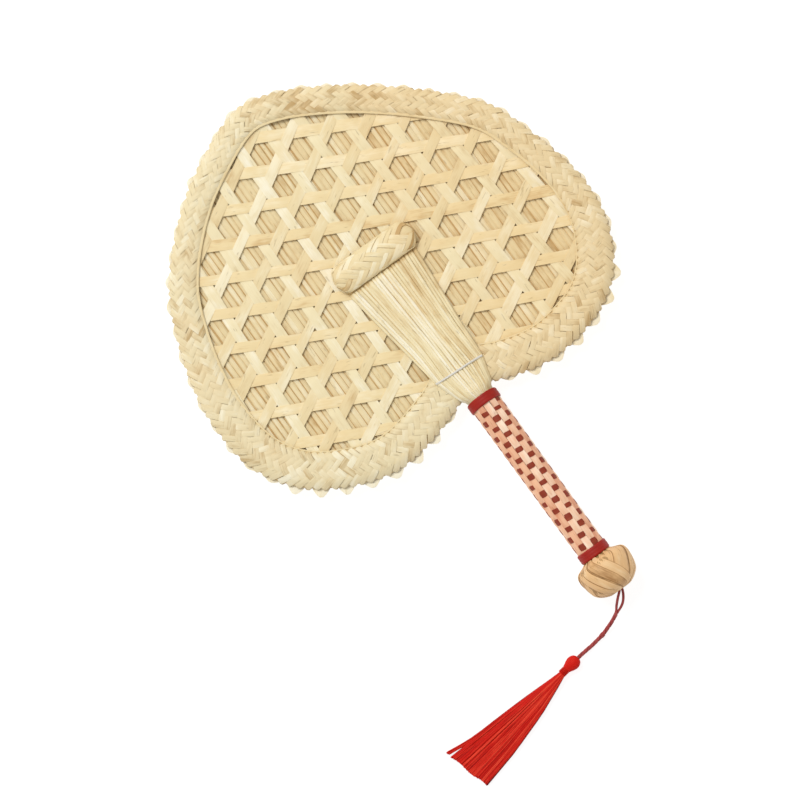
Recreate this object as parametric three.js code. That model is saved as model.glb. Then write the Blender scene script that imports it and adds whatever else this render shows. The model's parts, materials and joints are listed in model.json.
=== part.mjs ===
// A hand fan of plaited straw with a red tassel, lying face up on a table. Lengths in mm, +Z up.
// The fan is drawn flat in its own plane first: X to the right, Y from the handle towards the tip of
// the blade, Z towards the front face, with the origin where the handle meets the blade. It is then
// tilted to rest on its knob and on the far rim, as it does on a table.
import * as THREE from "three";

const gap = 0.3; // air between neighbouring pieces

// Blade: a heart with two lobes beside the handle. Its outline is drawn anticlockwise from the notch
// behind the handle, and fitted to the blade's width and length.
const bladeWidth = 298.1;
const bladeLength = 260.5;
const drawnOutline = [
  [0, 9], [22, 0], [55, -7.5], [92.5, -2], [111, 7], [125, 20.5], [138.8, 48.2], [141.5, 81],
  [130.5, 130.5], [120, 156.5], [94, 186], [50, 223], [6, 248], [-20, 253], [-62, 237],
  [-93, 216.7], [-126.3, 182.5], [-142.3, 151], [-152.5, 119.3], [-156.6, 92], [-152.5, 52.2],
  [-131.5, 19.6], [-91.7, -3], [-65, -7.5], [-24.5, 0.5],
];
const spread = (values) => Math.max(...values) - Math.min(...values);
const fitX = bladeWidth / spread(drawnOutline.map(([x]) => x));
const fitY = bladeLength / spread(drawnOutline.map(([, y]) => y));
const outlinePoints = drawnOutline.map(([x, y]) => [x * fitX, y * fitY]);
const notchY = outlinePoints[0][1];
const tipY = Math.max(...outlinePoints.map(([, y]) => y));

// Layers of the blade: the straw mat, the strips of the open weave, and the border on both faces
const matThick = 2.3;
const stripThick = 0.4;
const crossingGap = 0.5; // air between two strips where they cross
const borderThick = 3.2;

// Plaited border, wider round the lobes than at the tip
const borderWide = 26;
const borderNarrow = 17.5;
const borderWideBelow = 40; // Y where it begins to narrow
const borderNarrowAbove = 200;
const borderShoulder = 6; // rounded part beside the flat crown
const borderEdge = 1.6; // height of the outer edge
const lipWidth = 6.5; // outer part, where the front and back plaits meet
const lobeTooth = 4; // teeth of the back plait past the front one, at the lobes
const rimTooth = 1.6; // and elsewhere
const lobeTop = 25; // the lobes lie below this Y
const lobeSide = 25; // and this far from the handle
const rimTeeth = 52;

// Straw mat
const strawPitch = 3;
const strawGroove = 0.6;
const matInset = lipWidth + 1.5;

// Open weave of flat strips in three directions, round six-sided openings
const stripWidth = 6.4;
const triangleHole = 0.5; // radius of the small openings between three strips
const hexColumns = 12.32; // columns of six-sided openings across the blade's width
const weaveMiddleX = 1.8; // centre of the opening that the strips are counted from
const weaveMiddleY = 129.2;
const weaveLean = THREE.MathUtils.degToRad(1.3);
const weaveTaper = 0.18; // share by which the columns close up along the blade's length
const stripFlat = 0.465; // share of the way to the next crossing that stays level
const stripInset = lipWidth + stripWidth / 2 + 2 * gap;
const shortestStrip = 2.5; // counted in crossings

// Handle
const handleLength = 130.6; // from the blade down to the knob
const coreRadius = 4;
const coreInBlade = 2.5;
const coreInKnob = 19.4;
const sleeveRadiusTop = 10.5;
const sleeveRadiusBottom = 10;
const sleeveWall = 0.9;
const warpStrips = 13; // natural strips round the sleeve
const bandHeight = 6.6;
const bandThick = 0.9;
const upperBandTop = 1.1;
const upperBandSkew = 0.14; // the upper band sits higher at the front, per mm of depth

// Straw bunches, one over each face of the blade
const bunchStraws = 22;
const bunchGroove = 0.35;
const bunchLean = -0.041; // sideways drift per mm up the blade
const bunchInKnob = 5.4;
const bunchLength = 107; // past the end of the handle
const bunchEndHalf = 28.5; // half width at the far end
const bunchThreadHalf = 18.4; // under the thread
const bunchNeckHalf = 12.5; // where it leaves the handle
const bunchNeckDrop = 3; // that place is this far below the notch
const bunchRise = 3.4; // thickness where it lies spread
const bunchStep = 8; // length of its step from the border down to the weave
const threadY = 23.5;
const threadRadius = 0.5;

// Plaited roll across the end of each bunch
const rollMiddleX = -3;
const rollOverhang = 3.5; // past the bunch at each side
const rollHalfHeight = 10.6;
const rollHalfThick = 3.7;

// Knob
const knobRadius = 19.5;
const knobLength = 27.5;
const knobSides = 24;
const knobShoulder = 6.1; // from its top down to its widest part
const knobWidest = 4; // length of the widest part
const cordHoleRadius = 5;
const cordHoleDepth = 2.8;

// Cord and tassel, lying on the table. Points run from the mouth of the hole in the knob, Z above
// the table. The first two take the height of the hole, and the cord ends at the tassel's head.
const strandRadius = 0.75;
const strandSpread = 1.1; // how far the two strands bow apart
const strandsMeet = 7; // number of the point where they come together again
const loopPoints = [
  [0, 2], [0, 0], [-1.2, -2, 19.6], [-3, -4.2, 18.3], [-5.4, -6.8, 16.2], [-8.2, -9.2, 13.6],
  [-11.2, -11.5, 10.9], [-14.6, -13.5, 8.3], [-18, -15.2, 6.1], [-21.4, -16.5, 4.5], [-25.8, -18.1, 3.2],
];
const knotPoint = [-27.9, -18.7, 3];
const knotRadius = 1.8;
const twistRadius = 1.4;
const twistPoints = [
  [-30, -19.1, 2.8], [-32.5, -19.5, 2.4], [-35.5, -20, 2.2], [-38.5, -20.4, 2.3],
  [-41.5, -20.6, 2.7], [-44.2, -20.8, 3.3], [-46.8, -21, 4],
];
const headPoint = [-55.2, -22.1];
const tasselTurn = THREE.MathUtils.degToRad(-81.6); // from hanging straight out of the handle
const headRadius = 5;
const headLength = 10.8;
const neckRadius = 3.7;
const neckLength = 5;
const skirtLength = 89.6;
const skirtHalf = 17.8; // half width at the cut end
const skirtThick = 2.2; // half thickness there
const skirtFlutes = 12;

const straw = new THREE.MeshStandardMaterial({ color: 0xe6cf98, roughness: 0.7 });
const paleStraw = new THREE.MeshStandardMaterial({ color: 0xf1e3b9, roughness: 0.7 });
const warmStraw = new THREE.MeshStandardMaterial({ color: 0xe9c795, roughness: 0.7 });
const stick = new THREE.MeshStandardMaterial({ color: 0xc9a56a, roughness: 0.6 });
const redStrip = new THREE.MeshStandardMaterial({ color: 0x9c2418, roughness: 0.5 });
const redCord = new THREE.MeshStandardMaterial({ color: 0x8a3535, roughness: 0.8 });
const redSilk = new THREE.MeshStandardMaterial({ color: 0xcc2419, roughness: 0.45 });
const whiteThread = new THREE.MeshStandardMaterial({ color: 0xf3efe4, roughness: 0.8 });

// Heights in front of the blade's middle plane
const weaveThick = 2 * stripThick + crossingGap;
const stackHalf = (matThick + gap + weaveThick) / 2;
const matBack = -stackHalf;
const matFront = matBack + matThick;
const weaveMiddle = stackHalf - weaveThick / 2;
const borderUnder = stackHalf + gap;
const borderTop = borderUnder + borderThick;

const fan = new THREE.Group();
const cord = new THREE.Group();

function addPiece(group, name, geometry, material) {
  const piece = new THREE.Mesh(geometry, material);
  piece.name = name;
  group.add(piece);
  return piece;
}

// Triangles over a flat ring of points, wound the way the ring runs.
function capOf(ring) {
  const normal = new THREE.Vector3();
  ring.forEach((p, i) => {
    const q = ring[(i + 1) % ring.length];
    normal.add(new THREE.Vector3().crossVectors(p, q));
  });
  const size = normal.toArray().map(Math.abs);
  const dropped = size.indexOf(Math.max(...size));
  const flat = ring.map((p) => {
    const [x, y] = p.toArray().filter((_, axis) => axis !== dropped);
    return new THREE.Vector2(x, y);
  });
  const runs = Math.sign(THREE.ShapeUtils.area(flat));
  return THREE.ShapeUtils.triangulateShape(flat, []).map(([a, b, c]) => {
    const winds = Math.sign(THREE.ShapeUtils.area([flat[a], flat[b], flat[c]]));
    return winds === runs ? [a, b, c] : [a, c, b];
  });
}

function signedVolume(points, faces) {
  const volumeOf = ([a, b, c]) => points[a].dot(new THREE.Vector3().crossVectors(points[b], points[c])) / 6;
  return faces.reduce((sum, face) => sum + volumeOf(face), 0);
}

// Closed surface through a row of rings with equally many points. The row runs back to its first
// ring, or ends in a flat cap on both sides.
function loft(rings, isLoop = false) {
  const count = rings[0].length;
  const faces = [];
  const spans = isLoop ? rings.length : rings.length - 1;
  for (let i = 0; i < spans; i++) {
    const here = i * count;
    const next = ((i + 1) % rings.length) * count;
    for (let j = 0; j < count; j++) {
      const k = (j + 1) % count;
      faces.push([here + j, next + j, next + k], [here + j, next + k, here + k]);
    }
  }
  if (!isLoop) {
    const last = (rings.length - 1) * count;
    capOf(rings[0]).forEach((face) => faces.push(face));
    capOf(rings.at(-1)).forEach(([a, b, c]) => faces.push([last + a, last + c, last + b]));
  }
  const points = rings.flat();
  const facesOut = signedVolume(points, faces) > 0;
  const index = faces.flatMap(([a, b, c]) => (facesOut ? [a, b, c] : [a, c, b]));
  return new THREE.BufferGeometry().setFromPoints(points).setIndex(index);
}

// Ring or knob turned about the Y axis from a profile of [radius, Y] pairs.
function turned(profile, sides) {
  const points = profile.map(([radius, y]) => new THREE.Vector2(radius, y));
  return new THREE.LatheGeometry(points, sides, Math.PI / sides);
}

function tube(points, radius, steps) {
  const section = new THREE.Shape().absarc(0, 0, radius, 0, 2 * Math.PI);
  const extrudePath = new THREE.CatmullRomCurve3(points);
  return new THREE.ExtrudeGeometry(section, { steps, curveSegments: 4, extrudePath });
}

const outline = new THREE.CatmullRomCurve3(
  outlinePoints.map(([x, y]) => new THREE.Vector3(x, y, 0)), true, "centripetal",
);
outline.arcLengthDivisions = 1000;

// Point at a share of the way round the blade, moved inwards by inset.
function rimPoint(share, inset) {
  const at = outline.getPointAt(share);
  const along = outline.getTangentAt(share);
  return new THREE.Vector3(at.x - along.y * inset, at.y + along.x * inset, 0);
}

function edgeAt(inset) {
  const count = 240;
  return Array.from({ length: count }, (_, i) => rimPoint(i / count, inset));
}

function isInside(edge, x, y) {
  return edge.reduce((inside, a, i) => {
    const b = edge[(i + 1) % edge.length];
    const crosses = a.y > y !== b.y > y && x < a.x + ((b.x - a.x) * (y - a.y)) / (b.y - a.y);
    return crosses ? !inside : inside;
  }, false);
}

// First and last value whose point lies inside an edge, or null where none does.
function spanInside(edge, pointAt, from, to, step) {
  const within = [];
  for (let t = from; t <= to; t += step) {
    const { x, y } = pointAt(t);
    if (isInside(edge, x, y)) within.push(t);
  }
  return within.length ? [within[0], within.at(-1)] : null;
}

// One plait of the border: a band with a flat crown and a lip along its outer edge. side is 1 for
// the front plait and -1 for the back one, which has teeth.
function borderPlait(side) {
  const stations = 2 * rimTeeth;
  const rings = Array.from({ length: stations }, (_, i) => {
    const share = i / stations;
    const { x, y } = outline.getPointAt(share);
    const narrowing = THREE.MathUtils.smoothstep(y, borderWideBelow, borderNarrowAbove);
    const width = THREE.MathUtils.lerp(borderWide, borderNarrow, narrowing);
    const atLobe = y < lobeTop && Math.abs(x) > lobeSide;
    const tooth = side < 0 && i % 2 ? (atLobe ? lobeTooth : rimTooth) : 0;
    const section = [
      [-tooth, gap / 2], [-tooth, borderEdge], [borderShoulder * 0.4, borderTop - borderThick * 0.4],
      [borderShoulder, borderTop], [width - borderShoulder, borderTop],
      [width - borderShoulder * 0.25, borderTop - borderThick * 0.45], [width, borderUnder],
      [lipWidth, borderUnder], [lipWidth, gap / 2],
    ];
    return section.map(([inset, z]) => rimPoint(share, inset).setZ(side * z));
  });
  return loft(rings, true);
}
addPiece(fan, "front_border", borderPlait(1), straw);
addPiece(fan, "back_border", borderPlait(-1), paleStraw);

// Straw mat: columns across the blade, a crest and a groove for every straw.
function strawMat() {
  const edge = edgeAt(matInset);
  const rings = [];
  const columns = Math.ceil((2 * tipY) / strawPitch);
  for (let i = -columns; i <= columns; i++) {
    const x = (i * strawPitch) / 2;
    const span = spanInside(edge, (y) => ({ x, y }), 0, tipY, 0.5);
    if (!span || span[1] - span[0] < 4 * strawPitch) continue;
    const groove = i % 2 ? strawGroove : 0;
    const [low, high] = span;
    rings.push([
      new THREE.Vector3(x, low, matFront - groove),
      new THREE.Vector3(x, high, matFront - groove),
      new THREE.Vector3(x, high, matBack + groove),
      new THREE.Vector3(x, low, matBack + groove),
    ]);
  }
  return loft(rings);
}
addPiece(fan, "straw_mat", strawMat(), straw);

// Point of the open weave from its column and row numbers. Three strips round a small triangular
// hole fix the pitch of the rows.
const hexPitch = 2 * Math.sqrt(3) * (stripWidth + 2 * triangleHole);
const columnPitch = bladeWidth / hexColumns;

function weavePoint(column, row) {
  const flat = new THREE.Vector2(column * columnPitch, row * hexPitch);
  flat.rotateAround(new THREE.Vector2(), weaveLean);
  const narrowing = 1 - (weaveTaper * flat.y) / bladeLength;
  return new THREE.Vector2(weaveMiddleX + flat.x * narrowing, weaveMiddleY + flat.y);
}

// The three strip directions. A strip's place is given by its number and a count k along it that
// is whole at each crossing. Upright strips lie over rising ones, rising over falling, and
// falling over upright.
const stripFamilies = [
  {
    name: "upright",
    material: paleStraw,
    place: (i, k) => weavePoint(i + 0.5, k / 2 + 0.25),
    isOver: (i, k) => (i + k) % 2 !== 0,
  },
  {
    name: "rising",
    material: straw,
    place: (i, k) => weavePoint(k / 2, k / 4 + i + 0.5),
    isOver: (i, k) => k % 2 === 0,
  },
  {
    name: "falling",
    material: warmStraw,
    place: (i, k) => weavePoint(k / 2, -k / 4 + i + 0.5),
    isOver: (i, k) => k % 2 !== 0,
  },
];

// One strip over the counts from first to last, level at each crossing and stepping between them.
function weaveStrip(family, number, [first, last]) {
  const endStep = 0.48; // how far past its last crossing a strip may end
  const firstCrossing = Math.ceil(first);
  const lastCrossing = Math.floor(last);
  const stations = [Math.max(first, firstCrossing - endStep)];
  for (let k = firstCrossing; k <= lastCrossing; k++) stations.push(k - stripFlat, k + stripFlat);
  stations.push(Math.min(last, lastCrossing + endStep));
  const lift = (stripThick + crossingGap) / 2;
  const rings = stations
    .toSorted((a, b) => a - b)
    .filter((k) => k >= first && k <= last)
    .map((k) => {
      const at = family.place(number, k);
      const along = family.place(number, k + 0.01).sub(at).normalize();
      const z = weaveMiddle + (family.isOver(number, Math.round(k)) ? lift : -lift);
      const corners = [[-1, -1], [1, -1], [1, 1], [-1, 1]];
      return corners.map(([across, up]) => new THREE.Vector3(
        at.x - (along.y * across * stripWidth) / 2,
        at.y + (along.x * across * stripWidth) / 2,
        z + (up * stripThick) / 2,
      ));
    });
  return loft(rings);
}

const stripEdge = edgeAt(stripInset);
const reach = Math.ceil((2 * tipY) / hexPitch); // more strips and crossings than the blade can hold
stripFamilies.forEach((family) => {
  let made = 0;
  for (let number = -reach; number <= reach; number++) {
    const span = spanInside(stripEdge, (k) => family.place(number, k), -2 * reach, 2 * reach, 0.04);
    if (!span || span[1] - span[0] < shortestStrip) continue;
    made += 1;
    const name = `${family.name}_strip_${String(made).padStart(2, "0")}`;
    addPiece(fan, name, weaveStrip(family, number, span), family.material);
  }
});

// Straw bunches: each is half of the handle's straws, round the stick inside the handle and spread
// over one face of the blade as a ribbed tongue. It steps over the border and down onto the weave.
const hollow = coreRadius + gap;
const overBorder = borderTop + gap;
const stepTop = notchY + borderWide + gap; // Y where the bunch has passed the border
const stepEnd = stepTop + bunchStep;
const bunchBottomRadius = sleeveRadiusBottom - sleeveWall - gap;
const bunchTopRadius = sleeveRadiusTop - sleeveWall - gap;
const bunchBottom = -handleLength - bunchInKnob;

// Place on the spread part of a bunch, whose top stands swell times the usual rise above its underside.
function spreadStation(y, under, swell) {
  const share = (y - threadY) / (bunchLength - threadY);
  const half = THREE.MathUtils.lerp(bunchThreadHalf, bunchEndHalf, share);
  return { y, half, under, top: under + swell * bunchRise };
}

const threadStation = spreadStation(threadY, overBorder, 1.05);
const neckTop = { under: overBorder, top: overBorder + 1.35 * bunchRise };
const bunchStations = [
  { y: bunchBottom, half: bunchBottomRadius, under: gap / 2, top: bunchBottomRadius, hole: hollow },
  { y: coreInBlade + gap, half: bunchTopRadius, under: gap / 2, top: bunchTopRadius, hole: hollow },
  { y: notchY - bunchNeckDrop, half: bunchNeckHalf, ...neckTop },
  threadStation,
  spreadStation(stepTop, overBorder, 0.95),
  spreadStation(stepEnd, borderUnder, 1.7),
  spreadStation((2 * stepEnd + bunchLength) / 3, borderUnder, 1.25),
  spreadStation(bunchLength, borderUnder, 1),
];

function bunchRing({ y, half, under, top, hole = 0 }) {
  const lean = Math.max(y, 0) * bunchLean;
  const ribs = Array.from({ length: 2 * bunchStraws + 1 }, (_, i) => {
    const angle = (i / bunchStraws - 1) * (Math.PI / 2);
    const groove = i % 2 ? 0 : bunchGroove;
    const across = (half - groove) * Math.sin(angle);
    return new THREE.Vector3(lean + across, y, under + (top - under - groove) * Math.cos(angle));
  });
  const inner = Array.from({ length: 7 }, (_, i) => {
    const angle = (1 - i / 3) * (Math.PI / 2);
    const across = (hole || half * 0.8) * Math.sin(angle);
    return new THREE.Vector3(lean + across, y, Math.max(under, hole * Math.cos(angle)));
  });
  return [...ribs, ...inner];
}

function strawBunch(side) {
  const mirrored = (ring) => ring.map((p) => p.setZ(side * p.z));
  return loft(bunchStations.map((station) => mirrored(bunchRing(station))));
}

// White stitch over a bunch, from edge to edge.
function threadOver(side) {
  const { y, half, under, top } = threadStation;
  const clear = gap + threadRadius;
  const points = Array.from({ length: 9 }, (_, i) => {
    const angle = (i / 4 - 1) * 1.45;
    return new THREE.Vector3(
      y * bunchLean + (half + clear) * Math.sin(angle),
      y,
      side * (under + clear + (top - under) * Math.cos(angle)),
    );
  });
  return tube(points, threadRadius, 16);
}

// Plaited roll with rounded ends: stations along it as [share of its length, share of its girth].
function plaitedRoll(side) {
  const sides = 12;
  const half = bunchEndHalf + rollOverhang;
  const middleY = bunchLength + gap + rollHalfHeight;
  const stations = [[0, 0.45], [0.03, 0.8], [0.1, 1], [0.5, 1], [0.9, 1], [0.97, 0.8], [1, 0.45]];
  return loft(stations.map(([share, swell]) => Array.from({ length: sides }, (_, i) => {
    const angle = (2 * Math.PI * i) / sides;
    return new THREE.Vector3(
      rollMiddleX + (2 * share - 1) * half,
      middleY + swell * rollHalfHeight * Math.cos(angle),
      side * (borderUnder + rollHalfThick * (1 + swell * Math.sin(angle))),
    );
  })));
}

[["front", 1], ["back", -1]].forEach(([face, side]) => {
  addPiece(fan, `${face}_straw_bunch`, strawBunch(side), straw);
  addPiece(fan, `${face}_thread`, threadOver(side), whiteThread);
  addPiece(fan, `${face}_roll`, plaitedRoll(side), warmStraw);
});

// Handle: the stick, the woven sleeve and the red bands that bind its ends
const coreBottom = -handleLength - coreInKnob;
const stickProfile = [[0, coreBottom], [coreRadius, coreBottom], [coreRadius, coreInBlade], [0, coreInBlade]];
addPiece(fan, "handle_core", turned(stickProfile, 16), stick);

const upperBandOuter = sleeveRadiusTop + gap + bandThick;
const sleeveTop = upperBandTop - upperBandSkew * upperBandOuter;
const sleeveBottom = -handleLength + gap;
const sleeveProfile = [
  [sleeveRadiusBottom - sleeveWall, sleeveBottom], [sleeveRadiusBottom, sleeveBottom],
  [sleeveRadiusTop, sleeveTop], [sleeveRadiusTop - sleeveWall, sleeveTop],
  [sleeveRadiusBottom - sleeveWall, sleeveBottom],
];
addPiece(fan, "handle_weave", turned(sleeveProfile, 2 * warpStrips), warmStraw);

function redBand(top, sleeveRadius, skew) {
  const bottom = top - bandHeight;
  const inner = sleeveRadius + gap;
  const outer = inner + bandThick;
  const round = bandThick * 0.4;
  const profile = [
    [inner, bottom], [outer - round, bottom], [outer, bottom + 2 * round], [outer, top - 2 * round],
    [outer - round, top], [inner, top], [inner, bottom],
  ];
  const shear = new THREE.Matrix4().makeShear(0, 0, 0, 0, 0, skew);
  return turned(profile, 2 * warpStrips).applyMatrix4(shear);
}
const lowerBandTop = -handleLength + bandHeight;
const taper = (sleeveRadiusTop - sleeveRadiusBottom) / (sleeveTop - sleeveBottom);
const lowerBandRadius = sleeveRadiusBottom + taper * bandHeight; // sleeve's radius at the band's top
addPiece(fan, "upper_binding", redBand(upperBandTop, sleeveRadiusTop, upperBandSkew), redStrip);
addPiece(fan, "lower_binding", redBand(lowerBandTop, lowerBandRadius, 0), redStrip);

// Knob: bored for the bunches and the stick above, and for the cord at its end. It swells from the
// width of the lower band to its widest part, then narrows to a flat end.
const knobTop = -handleLength - gap;
const knobEnd = knobTop - knobLength;
const knobRestY = knobTop - knobShoulder;
const bunchBore = bunchBottomRadius + gap;
const knobTaper = knobRestY - knobWidest - knobEnd; // length of the narrowing part
const knobSection = [
  [0, knobEnd + cordHoleDepth], [cordHoleRadius, knobEnd + cordHoleDepth], [cordHoleRadius, knobEnd],
  [knobRadius * 0.4, knobEnd], [knobRadius * 0.66, knobEnd + knobTaper * 0.13],
  [knobRadius * 0.86, knobEnd + knobTaper * 0.37], [knobRadius * 0.93, knobEnd + knobTaper * 0.63],
  [knobRadius, knobRestY - knobWidest], [knobRadius, knobRestY],
  [knobRadius * 0.82, knobTop - knobShoulder * 0.43], [lowerBandRadius + gap + bandThick, knobTop],
  [bunchBore, knobTop], [bunchBore, bunchBottom - gap], [hollow, bunchBottom - gap],
  [hollow, coreBottom - gap], [0, coreBottom - gap],
];
addPiece(fan, "knob", turned(knobSection, knobSides), straw);

// Lay the fan on the table: the knob's lowest side and the far rim touch it.
const knobRest = knobRadius * Math.cos(Math.PI / knobSides);
const rimRestY = tipY - borderShoulder;
fan.rotation.x = -Math.atan2(knobRest - borderTop, rimRestY - knobRestY);
const lying = new THREE.Box3().setFromObject(fan, true);
const middle = lying.getCenter(new THREE.Vector3());
fan.position.set(-middle.x, -middle.y, -lying.min.z);
fan.updateMatrixWorld(true);

// Cord: two strands side by side out of the knob, a knot, then one twisted cord to the tassel
const exit = fan.localToWorld(new THREE.Vector3(0, knobEnd, 0));
cord.position.set(exit.x, exit.y, 0);
const loopLine = loopPoints.map(([x, y, z = exit.z]) => new THREE.Vector3(x, y, z));

function loopStrand(side) {
  const last = loopLine.length - 1;
  const points = loopLine.map((p, i) => {
    const before = loopLine[Math.max(i - 1, 0)];
    const after = loopLine[Math.min(i + 1, last)];
    const along = after.clone().sub(before).setZ(0).normalize();
    const bow = Math.sin(Math.PI * Math.min(i / strandsMeet, 1));
    const apart = side * (strandRadius + gap / 2 + strandSpread * bow);
    return new THREE.Vector3(p.x - along.y * apart, p.y + along.x * apart, p.z);
  });
  return tube(points, strandRadius, 14);
}
addPiece(cord, "cord_strand_left", loopStrand(-1), redCord);
addPiece(cord, "cord_strand_right", loopStrand(1), redCord);

const knot = addPiece(cord, "cord_knot", new THREE.SphereGeometry(knotRadius, 12, 8), redCord);
knot.position.set(...knotPoint);

// Tassel: drawn with the cord on +Y and the skirt on -Y, then turned to where it lies
const tassel = new THREE.Group();
tassel.position.set(...headPoint, headRadius);
tassel.rotation.z = tasselTurn;
tassel.updateMatrix();
cord.add(tassel);

const headHalf = headLength / 2;
const twistEnd = new THREE.Vector3(0, headHalf + gap, 0).applyMatrix4(tassel.matrix);
const twistLine = [...twistPoints.map((p) => new THREE.Vector3(...p)), twistEnd];
addPiece(cord, "cord_twist", tube(twistLine, twistRadius, 8), redCord);

const headProfile = [
  [0, -headHalf], [headRadius * 0.68, -headHalf], [headRadius * 0.92, -headHalf * 0.55],
  [headRadius, -headHalf * 0.07], [headRadius * 0.88, headHalf * 0.48], [headRadius * 0.52, headHalf * 0.9],
  [0, headHalf],
];
addPiece(tassel, "tassel_head", turned(headProfile, 16), redSilk);

const wrapTop = -headHalf - gap;
const wrapBottom = wrapTop - neckLength;
const neckRound = neckRadius * 0.14;
const neckProfile = [
  [0, wrapBottom], [neckRadius - neckRound, wrapBottom], [neckRadius, wrapBottom + 2 * neckRound],
  [neckRadius, wrapTop - 2 * neckRound], [neckRadius - neckRound, wrapTop], [0, wrapTop],
];
addPiece(tassel, "tassel_neck_wrap", turned(neckProfile, 16), redSilk);

// Skirt: a fluted bundle that spreads and flattens towards its cut end. Stations along it give the
// share of its length, of its spread and of its flattening.
const skirtStations = [[0, 0, 0], [0.1, 0.11, -0.3], [0.33, 0.39, -0.3], [0.68, 0.74, 0.3], [1, 1, 1]];
const skirtRings = skirtStations.map(([share, spread, flatten]) => {
  const half = THREE.MathUtils.lerp(neckRadius - gap, skirtHalf, spread);
  const thick = THREE.MathUtils.lerp(neckRadius - 2 * gap, skirtThick, flatten);
  return Array.from({ length: 2 * skirtFlutes }, (_, i) => {
    const angle = (Math.PI * i) / skirtFlutes;
    const flute = i % 2 ? 0.9 : 1;
    return new THREE.Vector3(
      half * flute * Math.cos(angle),
      wrapBottom - gap - share * skirtLength,
      thick + gap - headRadius + thick * flute * Math.sin(angle),
    );
  });
});
addPiece(tassel, "tassel_skirt", loft(skirtRings), redSilk);

const whole = new THREE.Group();
whole.name = "straw_fan";
whole.add(fan, cord);

export default whole;
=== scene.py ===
"""Heart-shaped straw hand fan with a woven handle and a silk tassel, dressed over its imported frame.

Lengths are millimetres unless metres are named. The fan's own frame has X to the right, Y from the handle
to the tip of the blade, Z out of the front face, and its origin where the handle meets the blade. The
tassel's own frame has the cord on +Y, the skirt on -Y and its origin in the middle of the head.
"""
import json
import math

import bpy
import numpy as np
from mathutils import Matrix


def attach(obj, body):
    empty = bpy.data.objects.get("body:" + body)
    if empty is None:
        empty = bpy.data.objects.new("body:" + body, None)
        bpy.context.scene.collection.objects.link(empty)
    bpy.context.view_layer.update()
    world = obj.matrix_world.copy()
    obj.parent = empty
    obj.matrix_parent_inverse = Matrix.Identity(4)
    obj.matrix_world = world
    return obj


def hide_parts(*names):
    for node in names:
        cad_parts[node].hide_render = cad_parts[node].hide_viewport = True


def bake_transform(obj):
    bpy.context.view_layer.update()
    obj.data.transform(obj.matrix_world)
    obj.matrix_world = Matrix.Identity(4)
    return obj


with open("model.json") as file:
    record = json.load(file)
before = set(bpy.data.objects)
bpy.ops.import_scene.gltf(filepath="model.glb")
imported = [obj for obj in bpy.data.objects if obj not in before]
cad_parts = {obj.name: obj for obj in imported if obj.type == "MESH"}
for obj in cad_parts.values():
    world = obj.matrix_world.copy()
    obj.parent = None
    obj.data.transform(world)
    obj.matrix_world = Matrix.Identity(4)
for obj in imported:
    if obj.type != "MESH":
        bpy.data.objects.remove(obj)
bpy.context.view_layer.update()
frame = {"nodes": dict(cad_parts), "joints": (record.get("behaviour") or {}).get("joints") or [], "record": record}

MM = 0.001
UP = (0, 0, 1)

# The fan lies tilted on the table: its back faces down along the axis of the rim's resting face
JOINTS = {joint["name"]: joint for joint in frame["joints"]}
CORD_EXIT = np.array(JOINTS["cord_swing"]["pos_m"])
BACK = np.array(frame["record"]["mounts"][0]["axis"])
ACROSS = np.array((1.0, 0.0, 0.0))
TILT = np.stack([ACROSS, np.cross(ACROSS, BACK), -BACK], axis=1)
KNOB_END_Y = -158.4
FAN_ORIGIN = CORD_EXIT - TILT @ np.array((0.0, KNOB_END_Y, 0.0)) * MM

# Photograph: straight down, with the handle towards the lower right
PHOTO_SPAN = 0.536  # metres across the picture, at the height of the blade
BLADE_HEIGHT = 0.010  # metres above the table
PHOTO_MIDDLE = np.array((-45.0, 30.6, 0.0))  # point of the fan in the middle of the picture
VIEW_TURN = math.radians(-36)
LENS = 200
SENSOR = 36

# Outline of the blade, anticlockwise from the notch behind the handle
OUTLINE = [
    (0, 9), (22, 0), (55, -7.5), (92.5, -2), (111, 7), (125, 20.5), (138.8, 48.2), (141.5, 81),
    (130.5, 130.5), (120, 156.5), (94, 186), (50, 223), (6, 248), (-20, 253), (-62, 237),
    (-93, 216.7), (-126.3, 182.5), (-142.3, 151), (-152.5, 119.3), (-156.6, 92), (-152.5, 52.2),
    (-131.5, 19.6), (-91.7, -3), (-65, -7.5), (-24.5, 0.5),
]
BLADE_WIDTH = 298.1
BLADE_LENGTH = 260.5

# Cord route from the mouth of the hole, Z above the table; the first two points lie in the hole's axis
CORD_ROUTE = [
    (0, 2, 20.09), (0, 0, 20.09), (-1.2, -2, 19.6), (-3, -4.2, 18.3), (-5.4, -6.8, 16.2),
    (-8.2, -9.2, 13.6), (-11.2, -11.5, 10.9), (-14.6, -13.5, 8.3), (-18, -15.2, 6.1),
    (-21.4, -16.5, 4.5), (-25.8, -18.1, 3.2), (-27.9, -18.7, 3), (-30, -19.1, 2.8),
    (-32.5, -19.5, 2.4), (-35.5, -20, 2.2), (-38.5, -20.4, 2.3), (-41.5, -20.6, 2.7),
    (-44.2, -20.8, 3.3), (-46.8, -21, 4), (-49.5, -21.3, 5),
]
KNOT = 11  # number of the point where the two strands are knotted together
HEAD_POINT = np.array((-55.2, -22.1, 5.0))
TASSEL_TURN = math.radians(-81.6)


def unit(vectors):
    return vectors / np.linalg.norm(vectors, axis=-1, keepdims=True)


def smooth(value):
    """0 below 0, 1 above 1, and 3t^2 - 2t^3 between."""
    t = np.clip(value, 0, 1)
    return t * t * (3 - 2 * t)


def lerp(a, b, share):
    return a + (b - a) * share


def stacked(*coordinates):
    """Points whose coordinates are broadcast against each other."""
    return np.stack(np.broadcast_arrays(*coordinates), axis=-1)


def turn_angles(count):
    """Angles of points evenly round a full turn."""
    return 2 * np.pi * np.arange(count) / count


def to_row(points):
    """Fan's own frame to the row frame, in metres."""
    return points @ TILT.T * MM + FAN_ORIGIN


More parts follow.
